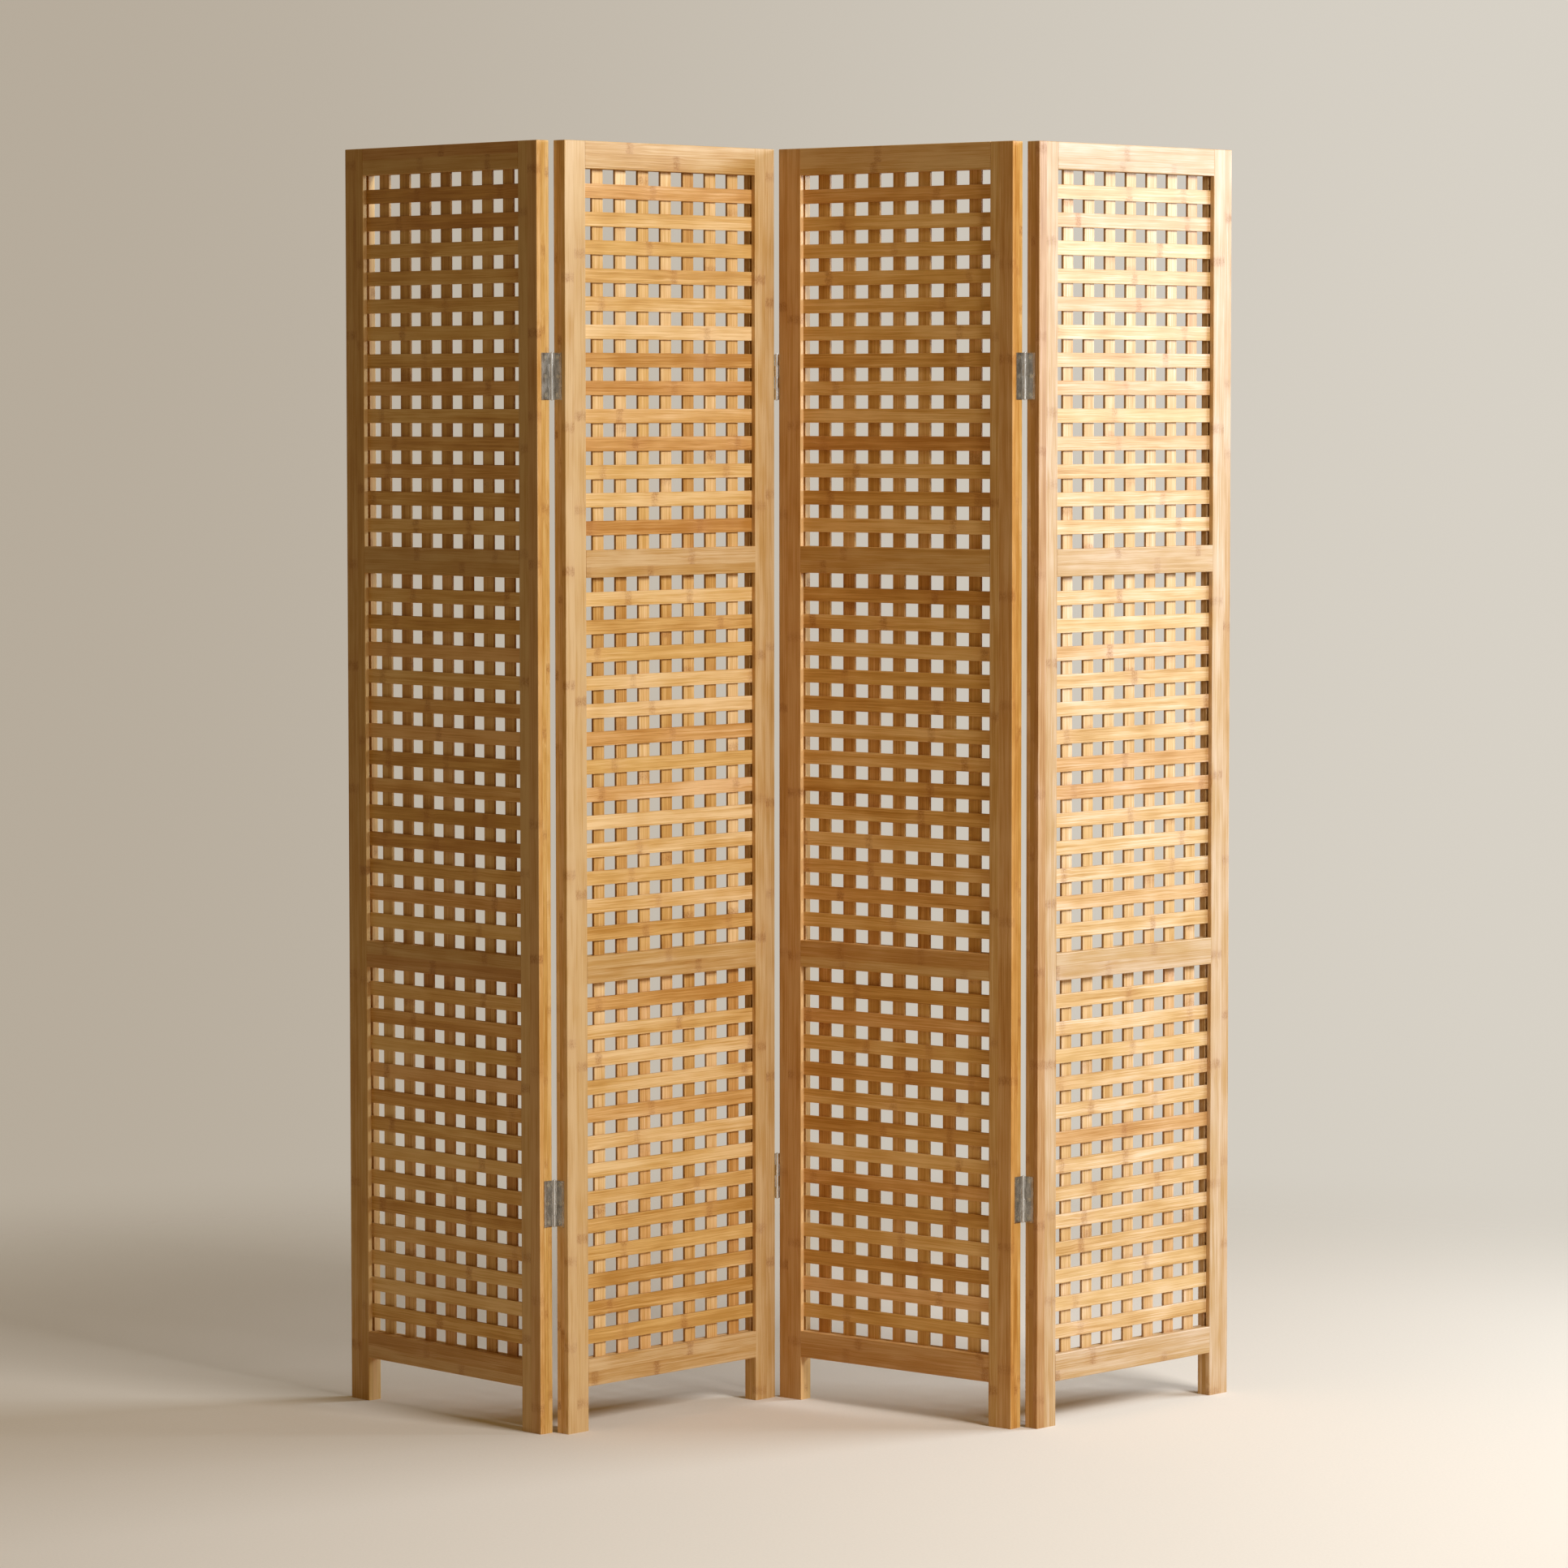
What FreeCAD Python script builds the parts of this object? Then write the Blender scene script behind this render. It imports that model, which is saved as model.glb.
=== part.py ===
import math
import os

import FreeCAD
import Part
import Sketcher

# A folding room screen: four upright lattice panels that stand in a zigzag.
# Each panel has two full-height stiles, whose lower ends are its feet, and four rails that
# butt between them on dowels. The rails divide it into three sections. In each section a
# row of flat horizontal slats lies in front of a row of flat vertical slats. The horizontal
# slats end in grooves in the stiles, the vertical ones in grooves in the rails.
# Neighbouring panels are joined by two small butt hinges, screwed to the panels' edges.
#
# The part's frame: the floor is z = 0, z points up, x runs along the screen and y points
# through it, away from whoever looks at its front. The origin is the middle of the floor
# space that the screen takes up, folded as it stands.
# A panel's own frame: x from its left edge, y from its front face, z from the floor.
# A hinge's own frame: the pin's axis is z, the pin's middle is the origin, the left leaf
# lies at negative x, and the leaves reach from the barrel towards negative y.

LENGTHS = {
    # Panel frame
    "screen_height": 1700,
    "panel_width": 400,
    "frame_depth": 21,
    "stile_width": 38,
    "rail_height": 36,
    "leg_height": 59,
    "timber_easing": 1.0,
    # Lattice
    "lattice_setback": 6.5,
    "slat_depth": 4,
    "slat_easing": 0.6,
    "row_slat_height": 19,
    "row_end_gap": 19.2,
    "column_slat_width": 20,
    "column_end_gap": 23,
    "slat_tongue": 4.5,
    "tongue_end_clearance": 0.5,
    "groove_side_clearance": 0.1,
    # Dowels between rails and stiles
    "dowel_radius": 3,
    "dowel_length": 30,
    "dowel_spacing": 16,
    "dowel_chamfer": 0.8,
    "dowel_side_clearance": 0.05,
    "dowel_end_clearance": 0.5,
    # Hinges
    "hinge_top_drop": 307,
    "hinge_foot_rise": 305,
    "leaf_height": 61.5,
    "leaf_reach": 14,
    "leaf_thickness": 1.2,
    "flat_leaf_gap": 1.5,
    "barrel_radius": 2.4,
    "barrel_stand": 2.3,
    "barrel_notch_clearance": 0.5,
    "knuckle_gap": 0.3,
    "pin_radius": 1.4,
    "pin_stand": 0.8,
    "pin_end_easing": 0.9,
    "pin_grip_clearance": 0.01,
    "pin_running_clearance": 0.05,
    # Hinge screws
    "screw_rise": 24.6,
    "end_screw_inset": 7,
    "middle_screw_inset": 8.7,
    "screw_head_radius": 2.6,
    "screw_shank_radius": 1.4,
    "screw_shank_length": 12,
    "screw_tip_length": 3,
    "screw_tip_radius": 0.2,
    "recess_span": 2.8,
    "recess_width": 0.7,
    "recess_depth": 0.7,
    "screw_clearance": 0.05,
    "screw_end_clearance": 1,
    # Every cut runs past the face it starts from by this much
    "overrun": 1,
}

ANGLES = {
    # The first panel's heading from the x axis, and how far each joint is folded from flat
    "first_heading_angle": -47.35,
    "fold_1_2_angle": 94.5,
    "fold_2_3_angle": 87.1,
    "fold_3_4_angle": 86.75,
}

COUNTS = {
    "section_count": 3,
    "row_count": 13,
    "column_count": 7,
    "knuckle_count": 4,
}

# Lengths and places that follow from the sizes above
RAIL_LENGTH = "(sizes.panel_width - 2 * sizes.stile_width)"
RIGHT_STILE = "(sizes.panel_width - sizes.stile_width)"
RAIL_RISE = "((sizes.screen_height - sizes.rail_height - sizes.leg_height) / sizes.section_count)"
SECTION_FOOT = "(sizes.leg_height + sizes.rail_height)"
SECTION_HEIGHT = f"({RAIL_RISE} - sizes.rail_height)"
ROW_PITCH = (f"(({SECTION_HEIGHT} - 2 * sizes.row_end_gap - sizes.row_slat_height)"
             " / (sizes.row_count - 1))")
COLUMN_PITCH = (f"(({RAIL_LENGTH} - 2 * sizes.column_end_gap - sizes.column_slat_width)"
                " / (sizes.column_count - 1))")
ROW_FRONT = "sizes.lattice_setback"
COLUMN_FRONT = "(sizes.lattice_setback + sizes.slat_depth)"
GROOVE_DEPTH = "(sizes.slat_tongue + sizes.tongue_end_clearance)"
GROOVE_WIDTH = "(sizes.slat_depth + 2 * sizes.groove_side_clearance)"
DOWEL_HOLE_DEPTH = "(sizes.dowel_length / 2 + sizes.dowel_end_clearance)"
DOWEL_HOLE_RADIUS = "(sizes.dowel_radius + sizes.dowel_side_clearance)"
HINGE_RISE = "(sizes.screen_height - sizes.hinge_top_drop - sizes.hinge_foot_rise)"
AXIS_SIDE = "(sizes.flat_leaf_gap / 2 + sizes.leaf_thickness)"
LEAF_END = "(sizes.barrel_stand + sizes.leaf_reach)"
NOTCH_EDGE = "(sizes.barrel_radius + sizes.barrel_notch_clearance)"
KNUCKLE_PITCH = "((sizes.leaf_height + sizes.knuckle_gap) / sizes.knuckle_count)"
RAIL_COUNT = "(sizes.section_count + 1)"
LOWER_HINGE = "sizes.hinge_foot_rise"
UPPER_HINGE = f"(sizes.hinge_foot_rise + {HINGE_RISE})"

# A leaf's three screws: how far in from the panel's face, and how far up from the leaf's middle
SCREW_PLACES = (("sizes.end_screw_inset", "(-sizes.screw_rise)"),
                ("sizes.middle_screw_inset", "0"),
                ("sizes.end_screw_inset", "sizes.screw_rise"))

PANELS = (1, 2, 3, 4)
RAILS = ("bottom_rail", "lower_middle_rail", "upper_middle_rail", "top_rail")
# Each joint's two panels, and the face on which its barrels stand
JOINTS = ((1, 2, "back"), (2, 3, "front"), (3, 4, "back"))

X_DIRECTION = FreeCAD.Vector(1, 0, 0)
Y_DIRECTION = FreeCAD.Vector(0, 1, 0)
Z_DIRECTION = FreeCAD.Vector(0, 0, 1)

document = FreeCAD.newDocument("folding_screen")
sheet = document.addObject("Spreadsheet::Sheet", "sizes")
for row, (name, number) in enumerate({**LENGTHS, **ANGLES, **COUNTS}.items(), start=1):
    sheet.set(f"A{row}", name)
    sheet.set(f"B{row}", str(number))
    sheet.setAlias(f"B{row}", name)
document.recompute()


def value(expression):
    result = sheet.evalExpression(expression)
    return float(getattr(result, "Value", result))


def point(across, along, up):
    return FreeCAD.Vector(value(across), value(along), value(up))


# Panels and hinges in place

def panel_placements():
    """Each panel's place: the first at its heading, the others chained on at the hinges."""
    side = value(AXIS_SIDE)
    width = value("sizes.panel_width")
    depth = value("sizes.frame_depth")
    stand = value("sizes.barrel_stand")
    easing = value("sizes.timber_easing")
    heading = value("sizes.first_heading_angle")
    placed = [FreeCAD.Placement(FreeCAD.Vector(), FreeCAD.Rotation(Z_DIRECTION, heading))]
    for left, right, face in JOINTS:
        across = depth + stand if face == "back" else -stand
        fold = value(f"sizes.fold_{left}_{right}_angle")
        heading += fold if face == "back" else -fold
        turn = FreeCAD.Rotation(Z_DIRECTION, heading)
        axis = placed[-1].multVec(FreeCAD.Vector(width + side, across, 0))
        placed.append(FreeCAD.Placement(axis - turn.multVec(FreeCAD.Vector(-side, across, 0)), turn))
    # The corners' rounding is struck from points inset by the easing
    insets = [FreeCAD.Vector(x, y, 0)
              for x in (easing, width - easing) for y in (easing, depth - easing)]
    corners = [place.multVec(inset) for place in placed for inset in insets]
    middle = FreeCAD.Vector((min(c.x for c in corners) + max(c.x for c in corners)) / 2,
                            (min(c.y for c in corners) + max(c.y for c in corners)) / 2, 0)
    return {number: FreeCAD.Placement(place.Base - middle, place.Rotation)
            for number, place in zip(PANELS, placed)}


PLACES = panel_placements()


def hinge_in_panel(edge, face, height):
    """A hinge's place in the frame of a panel that carries it on its left or right edge."""
    across = f"(sizes.panel_width + {AXIS_SIDE})" if edge == "right" else f"(-{AXIS_SIDE})"
    along = "(sizes.frame_depth + sizes.barrel_stand)" if face == "back" else "(-sizes.barrel_stand)"
    turn = FreeCAD.Rotation() if face == "back" else FreeCAD.Rotation(Z_DIRECTION, 180)
    return FreeCAD.Placement(point(across, along, height), turn)


def leaf_in_panel(edge, face, height):
    """A leaf is drawn as the left one; turned end for end it is the right one."""
    hinge = hinge_in_panel(edge, face, height)
    drawn_edge = "right" if face == "back" else "left"
    if edge == drawn_edge:
        return hinge
    return hinge.multiply(FreeCAD.Placement(FreeCAD.Vector(), FreeCAD.Rotation(Y_DIRECTION, 180)))


# Tools for drawing in a body

def start_body(name):
    body = document.addObject("PartDesign::Body", name)
    body.Label = name
    body.AllowCompound = True
    return body


def origin_feature(body, role):
    return next(feature for feature in body.Origin.OriginFeatures if feature.Role == role)


def start_sketch(body, plane, offset):
    sketch = body.newObject("Sketcher::SketchObject", "sketch")
    sketch.AttachmentSupport = [(origin_feature(body, plane), "")]
    sketch.MapMode = "FlatFace"
    sketch.setExpression("AttachmentOffset.Base.z", offset)
    return sketch


def bind(sketch, constraint, expression):
    number = sketch.addConstraint(constraint)
    sketch.setExpression(f"Constraints[{number}]", expression)


def draw_rectangle(sketch, left, low, width, height):
    """A rectangle in the sketch, held by its lower left corner, width and height."""
    right = f"({left} + {width})"
    top = f"({low} + {height})"
    corners = [(left, low), (right, low), (right, top), (left, top)]
    spots = [FreeCAD.Vector(value(across), value(up), 0) for across, up in corners]
    first = sketch.GeometryCount
    for corner, spot in enumerate(spots):
        sketch.addGeometry(Part.LineSegment(spot, spots[(corner + 1) % 4]))
    for corner in range(4):
        following = first + (corner + 1) % 4
        sketch.addConstraint(Sketcher.Constraint("Coincident", first + corner, 2, following, 1))
    for side in (0, 2):
        sketch.addConstraint(Sketcher.Constraint("Horizontal", first + side))
        sketch.addConstraint(Sketcher.Constraint("Vertical", first + side + 1))
    bind(sketch, Sketcher.Constraint("DistanceX", first, 1, spots[0].x), left)
    bind(sketch, Sketcher.Constraint("DistanceY", first, 1, spots[0].y), low)
    bind(sketch, Sketcher.Constraint("DistanceX", first, 1, first, 2, value(width)), width)
    bind(sketch, Sketcher.Constraint("DistanceY", first + 1, 1, first + 1, 2, value(height)), height)


def draw_circle(sketch, across, up, radius):
    """A circle in the sketch, held by its centre and radius."""
    centre = FreeCAD.Vector(value(across), value(up), 0)
    number = sketch.addGeometry(Part.Circle(centre, Z_DIRECTION, value(radius)))
    bind(sketch, Sketcher.Constraint("DistanceX", number, 3, centre.x), across)
    bind(sketch, Sketcher.Constraint("DistanceY", number, 3, centre.y), up)
    bind(sketch, Sketcher.Constraint("Radius", number, value(radius)), radius)


def pad(body, sketch, length):
    feature = body.newObject("PartDesign::Pad", "pad")
    feature.Profile = sketch
    feature.setExpression("Length", length)
    document.recompute([body])
    return feature


def pocket(body, sketch, depth, along_normal):
    """Cut the sketch's shapes into the body, along the sketch's normal or against it."""
    before = body.Shape.Volume
    feature = body.newObject("PartDesign::Pocket", "pocket")
    feature.Profile = sketch
    feature.Reversed = along_normal
    feature.setExpression("Length", depth)
    document.recompute([body])
    if feature.Shape.Volume >= before:
        raise RuntimeError(f"a cut in {body.Label} removes nothing")
    return feature


def dress_edges(body, kind, base, is_dressed, dimension, size):
    """Round or chamfer those edges of the base feature that is_dressed accepts."""
    feature = body.newObject(f"PartDesign::{kind}", kind.lower())
    edges = enumerate(base.Shape.Edges, start=1)
    feature.Base = (base, [f"Edge{number}" for number, edge in edges if is_dressed(edge)])
    feature.setExpression(dimension, size)
    document.recompute([body])
    return feature


def runs_along(direction):
    """Picks the straight edges that lie along a direction."""
    return lambda edge: abs(edge.tangentAt(edge.FirstParameter).dot(direction)) > math.cos(math.radians(1))


def line_pattern(body, axis, count, spacing):
    feature = body.newObject("PartDesign::LinearPattern", "pattern")
    feature.Direction = (origin_feature(body, axis), [""])
    feature.Mode = "Spacing"
    feature.setExpression("Occurrences", count)
    feature.setExpression("Offset", spacing)
    return feature


def repeat_cut(body, cut, axis, count, spacing):
    feature = line_pattern(body, axis, count, spacing)
    feature.Originals = [cut]
    body.Tip = feature
    document.recompute([body])


def repeat_piece(body, runs):
    """Repeat everything drawn so far along one or two axes, as separate pieces."""
    feature = body.newObject("PartDesign::MultiTransform", "repeat")
    feature.TransformMode = "Whole shape"
    feature.Transformations = [line_pattern(body, *run) for run in runs]
    body.Tip = feature
    document.recompute([body])


# Panel frame

def draw_dowel_circles(sketch, rail_foot, radius):
    """Two dowels, one above the other, on the middle of a rail's end."""
    for side in ("-", "+"):
        up = f"({rail_foot} + sizes.rail_height / 2 {side} sizes.dowel_spacing / 2)"
        draw_circle(sketch, "(sizes.frame_depth / 2)", up, radius)


def screw_spots(face, height):
    """Where a leaf's three screws stand on a panel's edge: how far back, and how far up."""
    return [(f"(sizes.frame_depth - {inset})" if face == "back" else inset, f"({height} + {rise})")
            for inset, rise in SCREW_PLACES]


def make_stile(number, side, hinge_face):
    """A stile with its slat grooves, dowel holes and, on a hinged edge, screw holes."""
    body = start_body(f"panel_{number}_{side}_stile")
    left = "0" if side == "left" else RIGHT_STILE
    inner = "sizes.stile_width" if side == "left" else RIGHT_STILE
    outer = "0" if side == "left" else "sizes.panel_width"
    section = start_sketch(body, "XY_Plane", "0")
    draw_rectangle(section, left, "0", "sizes.stile_width", "sizes.frame_depth")
    post = pad(body, section, "sizes.screen_height")
    # Every edge is eased but those round the foot
    body.Tip = dress_edges(body, "Fillet", post,
                           lambda edge: edge.CenterOfMass.z > post.Shape.CenterOfMass.z / 2,
                           "Radius", "sizes.timber_easing")
    groove = start_sketch(body, "YZ_Plane", inner)
    draw_rectangle(groove, f"({ROW_FRONT} - sizes.groove_side_clearance)", SECTION_FOOT,
                   GROOVE_WIDTH, SECTION_HEIGHT)
    into_stile = side == "right"
    repeat_cut(body, pocket(body, groove, GROOVE_DEPTH, into_stile),
               "Z_Axis", "sizes.section_count", RAIL_RISE)
    holes = start_sketch(body, "YZ_Plane", inner)
    draw_dowel_circles(holes, "sizes.leg_height", DOWEL_HOLE_RADIUS)
    repeat_cut(body, pocket(body, holes, DOWEL_HOLE_DEPTH, into_stile), "Z_Axis", RAIL_COUNT, RAIL_RISE)
    if hinge_face:
        pilots = start_sketch(body, "YZ_Plane", outer)
        for back, up in screw_spots(hinge_face, LOWER_HINGE):
            draw_circle(pilots, back, up, "(sizes.screw_shank_radius + sizes.screw_clearance)")
        depth = "(sizes.screw_shank_length + sizes.screw_end_clearance)"
        repeat_cut(body, pocket(body, pilots, depth, side == "left"), "Z_Axis", "2", HINGE_RISE)
    body.Placement = PLACES[number]
    return body


def make_rail(number, level):
    """A rail with dowel holes in its ends and a groove on each side that meets a section."""
    body = start_body(f"panel_{number}_{RAILS[level]}")
    foot = f"(sizes.leg_height + {level} * {RAIL_RISE})"
    section = start_sketch(body, "YZ_Plane", "sizes.stile_width")
    draw_rectangle(section, "0", foot, "sizes.frame_depth", "sizes.rail_height")
    beam = pad(body, section, RAIL_LENGTH)
    body.Tip = dress_edges(body, "Fillet", beam, runs_along(X_DIRECTION), "Radius", "sizes.timber_easing")
    grooved_faces = []
    if level > 0:
        grooved_faces.append((foot, True))
    if level < len(RAILS) - 1:
        grooved_faces.append((f"({foot} + sizes.rail_height)", False))
    for height, upward in grooved_faces:
        groove = start_sketch(body, "XY_Plane", height)
        draw_rectangle(groove, "(sizes.stile_width - sizes.overrun)",
                       f"({COLUMN_FRONT} - sizes.groove_side_clearance)",
                       f"({RAIL_LENGTH} + 2 * sizes.overrun)", GROOVE_WIDTH)
        pocket(body, groove, GROOVE_DEPTH, upward)
    for end, along in (("sizes.stile_width", True), (RIGHT_STILE, False)):
        holes = start_sketch(body, "YZ_Plane", end)
        draw_dowel_circles(holes, foot, DOWEL_HOLE_RADIUS)
        pocket(body, holes, DOWEL_HOLE_DEPTH, along)
    body.Placement = PLACES[number]
    return body


def make_dowels(number):
    """Two glued dowels in every joint between a rail and a stile."""
    body = start_body(f"panel_{number}_rail_dowels")
    sketch = start_sketch(body, "YZ_Plane", "(sizes.stile_width - sizes.dowel_length / 2)")
    draw_dowel_circles(sketch, "sizes.leg_height", "sizes.dowel_radius")
    pegs = pad(body, sketch, "sizes.dowel_length")
    dress_edges(body, "Chamfer", pegs, lambda edge: len(edge.Vertexes) == 1, "Size", "sizes.dowel_chamfer")
    repeat_piece(body, [("Z_Axis", RAIL_COUNT, RAIL_RISE), ("X_Axis", "2", RAIL_LENGTH)])
    body.Placement = PLACES[number]
    return body


# Lattice

def make_row_slats(number):
    """The horizontal slats, in front, from one stile's groove to the other's."""
    body = start_body(f"panel_{number}_horizontal_slats")
    sketch = start_sketch(body, "YZ_Plane", "(sizes.stile_width - sizes.slat_tongue)")
    draw_rectangle(sketch, ROW_FRONT, f"({SECTION_FOOT} + sizes.row_end_gap)",
                   "sizes.slat_depth", "sizes.row_slat_height")
    slat = pad(body, sketch, f"({RAIL_LENGTH} + 2 * sizes.slat_tongue)")
    dress_edges(body, "Fillet", slat, runs_along(X_DIRECTION), "Radius", "sizes.slat_easing")
    repeat_piece(body, [("Z_Axis", "sizes.row_count", ROW_PITCH),
                        ("Z_Axis", "sizes.section_count", RAIL_RISE)])
    body.Placement = PLACES[number]
    return body


def make_column_slats(number):
    """The vertical slats, behind, from one rail's groove to the next rail's."""
    body = start_body(f"panel_{number}_vertical_slats")
    sketch = start_sketch(body, "XY_Plane", f"({SECTION_FOOT} - sizes.slat_tongue)")
    draw_rectangle(sketch, "(sizes.stile_width + sizes.column_end_gap)", COLUMN_FRONT,
                   "sizes.column_slat_width", "sizes.slat_depth")
    slat = pad(body, sketch, f"({SECTION_HEIGHT} + 2 * sizes.slat_tongue)")
    dress_edges(body, "Fillet", slat, runs_along(Z_DIRECTION), "Radius", "sizes.slat_easing")
    repeat_piece(body, [("X_Axis", "sizes.column_count", COLUMN_PITCH),
                        ("Z_Axis", "sizes.section_count", RAIL_RISE)])
    body.Placement = PLACES[number]
    return body


# Hinges, in primitives

def add_primitive(kind, sizes, place):
    """A primitive with its sizes and its place bound to the sheet; place is x, y and z."""
    piece = document.addObject(f"Part::{kind}", kind.lower())
    for dimension, expression in sizes.items():
        piece.setExpression(dimension, expression)
    for axis, expression in zip("xyz", place):
        piece.setExpression(f"Placement.Base.{axis}", expression)
    return piece


def lay_along_x(piece):
    """Turn a round primitive so that its axis points along x."""
    piece.Placement = FreeCAD.Placement(piece.Placement.Base, FreeCAD.Rotation(Y_DIRECTION, 90))
    return piece


def fuse(pieces):
    whole = document.addObject("Part::MultiFuse", "fusion")
    whole.Shapes = pieces
    whole.Refine = True
    return whole


def make_leaf(name, pin_clearance, place):
    """One hinge leaf: a plate with every other knuckle, bored for the pin and the screws."""
    plate_edge = f"(-{LEAF_END})"
    bridge_edge = f"(-{NOTCH_EDGE})"
    solids = [add_primitive("Box", {"Length": "sizes.leaf_thickness",
                                    "Width": f"({LEAF_END} - {NOTCH_EDGE})",
                                    "Height": "sizes.leaf_height"},
                            (f"(-{AXIS_SIDE})", plate_edge, "(-sizes.leaf_height / 2)"))]
    knuckle_height = f"({KNUCKLE_PITCH} - sizes.knuckle_gap)"
    for knuckle in range(0, round(value("sizes.knuckle_count")), 2):
        foot = f"(sizes.leaf_height / 2 - {knuckle} * {KNUCKLE_PITCH} - {knuckle_height})"
        solids.append(add_primitive("Box", {"Length": "sizes.leaf_thickness",
                                            "Width": NOTCH_EDGE, "Height": knuckle_height},
                                    (f"(-{AXIS_SIDE})", bridge_edge, foot)))
        solids.append(add_primitive("Cylinder", {"Radius": "sizes.barrel_radius",
                                                 "Height": knuckle_height}, ("0", "0", foot)))
    bores = [add_primitive("Cylinder", {"Radius": f"(sizes.pin_radius + {pin_clearance})",
                                        "Height": "(sizes.leaf_height + 2 * sizes.overrun)"},
                           ("0", "0", "(-sizes.leaf_height / 2 - sizes.overrun)"))]
    # Each countersink is the screw head's cone: it opens the plate's inner face by the
    # screw's shank, and is carried on past the outer face
    slope = "((sizes.screw_head_radius - sizes.screw_shank_radius) / sizes.leaf_thickness)"
    for inset, rise in SCREW_PLACES:
        along = f"(-sizes.barrel_stand - {inset})"
        sink = {"Radius1": "(sizes.screw_shank_radius + sizes.screw_clearance)",
                "Radius2": (f"(sizes.screw_head_radius + sizes.screw_clearance"
                            f" + sizes.overrun * {slope})"),
                "Height": "(sizes.leaf_thickness + sizes.overrun)"}
        bores.append(lay_along_x(add_primitive("Cone", sink, (f"(-{AXIS_SIDE})", along, rise))))
    leaf = document.addObject("Part::Cut", name)
    leaf.Label = name
    leaf.Base = fuse(solids)
    leaf.Tool = fuse(bores)
    leaf.Placement = place
    return leaf


def make_pin(name, place):
    """A hinge pin with rounded ends that stand a little out of the barrel."""
    body = start_body(name)
    sketch = start_sketch(body, "XY_Plane", "(-sizes.leaf_height / 2 - sizes.pin_stand)")
    draw_circle(sketch, "0", "0", "sizes.pin_radius")
    rod = pad(body, sketch, "(sizes.leaf_height + 2 * sizes.pin_stand)")
    dress_edges(body, "Fillet", rod, lambda edge: len(edge.Vertexes) == 1, "Radius", "sizes.pin_end_easing")
    body.Placement = place
    return body


def make_screw():
    """The pattern for every hinge screw: its axis is x, and its head's face is at x = 0."""
    head = lay_along_x(add_primitive("Cone", {"Radius1": "sizes.screw_shank_radius",
                                              "Radius2": "sizes.screw_head_radius",
                                              "Height": "sizes.leaf_thickness"},
                                     ("(-sizes.leaf_thickness)", "0", "0")))
    plain = "(sizes.screw_shank_length - sizes.screw_tip_length)"
    shank = lay_along_x(add_primitive("Cylinder", {"Radius": "sizes.screw_shank_radius",
                                                   "Height": plain},
                                      (f"(-sizes.leaf_thickness - {plain})", "0", "0")))
    tip = lay_along_x(add_primitive("Cone", {"Radius1": "sizes.screw_tip_radius",
                                             "Radius2": "sizes.screw_shank_radius",
                                             "Height": "sizes.screw_tip_length"},
                                    ("(-sizes.leaf_thickness - sizes.screw_shank_length)", "0", "0")))
    arms = []
    for wide, tall in (("sizes.recess_span", "sizes.recess_width"),
                       ("sizes.recess_width", "sizes.recess_span")):
        arms.append(add_primitive("Box", {"Length": "(sizes.recess_depth + sizes.overrun)",
                                          "Width": wide, "Height": tall},
                                  ("(-sizes.recess_depth)", f"(-{wide} / 2)", f"(-{tall} / 2)")))
    screw = document.addObject("Part::Cut", "screw_pattern")
    screw.Base = fuse([head, shank, tip])
    screw.Tool = fuse(arms)
    return screw


def make_hinge_screws(number, edge, face, screw):
    """The six screws of one hinged edge: three in each of its two leaves."""
    name = f"panel_{number}_{edge}_hinge_screws"
    across = "(sizes.panel_width + sizes.leaf_thickness)" if edge == "right" else "(-sizes.leaf_thickness)"
    turn = FreeCAD.Rotation(Z_DIRECTION, 0 if edge == "right" else 180)
    links = []
    for height in (LOWER_HINGE, UPPER_HINGE):
        for back, up in screw_spots(face, height):
            link = document.addObject("App::Link", "screw")
            link.LinkedObject = screw
            link.LinkPlacement = FreeCAD.Placement(point(across, back, up), turn)
            links.append(link)
    node = document.addObject("Part::Compound", name)
    node.Label = name
    node.Links = links
    node.Placement = PLACES[number]
    return node


# The whole screen

nodes = []
hinge_faces = {}
for left, right, face in JOINTS:
    hinge_faces[left, "right"] = face
    hinge_faces[right, "left"] = face

for number in PANELS:
    for side in ("left", "right"):
        nodes.append(make_stile(number, side, hinge_faces.get((number, side))))
    for level in range(len(RAILS)):
        nodes.append(make_rail(number, level))
    nodes.append(make_dowels(number))
    nodes.append(make_row_slats(number))
    nodes.append(make_column_slats(number))

for left, right, face in JOINTS:
    for position, height in (("lower", LOWER_HINGE), ("upper", UPPER_HINGE)):
        name = f"{position}_hinge_{left}_{right}"
        nodes.append(make_leaf(f"{name}_left_leaf", "sizes.pin_grip_clearance",
                               PLACES[left].multiply(leaf_in_panel("right", face, height))))
        nodes.append(make_leaf(f"{name}_right_leaf", "sizes.pin_running_clearance",
                               PLACES[right].multiply(leaf_in_panel("left", face, height))))
        nodes.append(make_pin(f"{name}_pin", PLACES[left].multiply(hinge_in_panel("right", face, height))))

screw = make_screw()
for (number, edge), face in hinge_faces.items():
    nodes.append(make_hinge_screws(number, edge, face, screw))

document.recompute()

for item in document.Objects:
    if "Invalid" in item.State or "Error" in item.State:
        raise RuntimeError(f"{item.Label} failed: {item.State}")
for node in nodes:
    if node.Shape.isNull() or not node.Shape.isValid():
        raise RuntimeError(f"{node.Label} has no valid shape")

os.makedirs("parts", exist_ok=True)
for node in nodes:
    node.Shape.exportStep(f"parts/{node.Label}.step")

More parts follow.
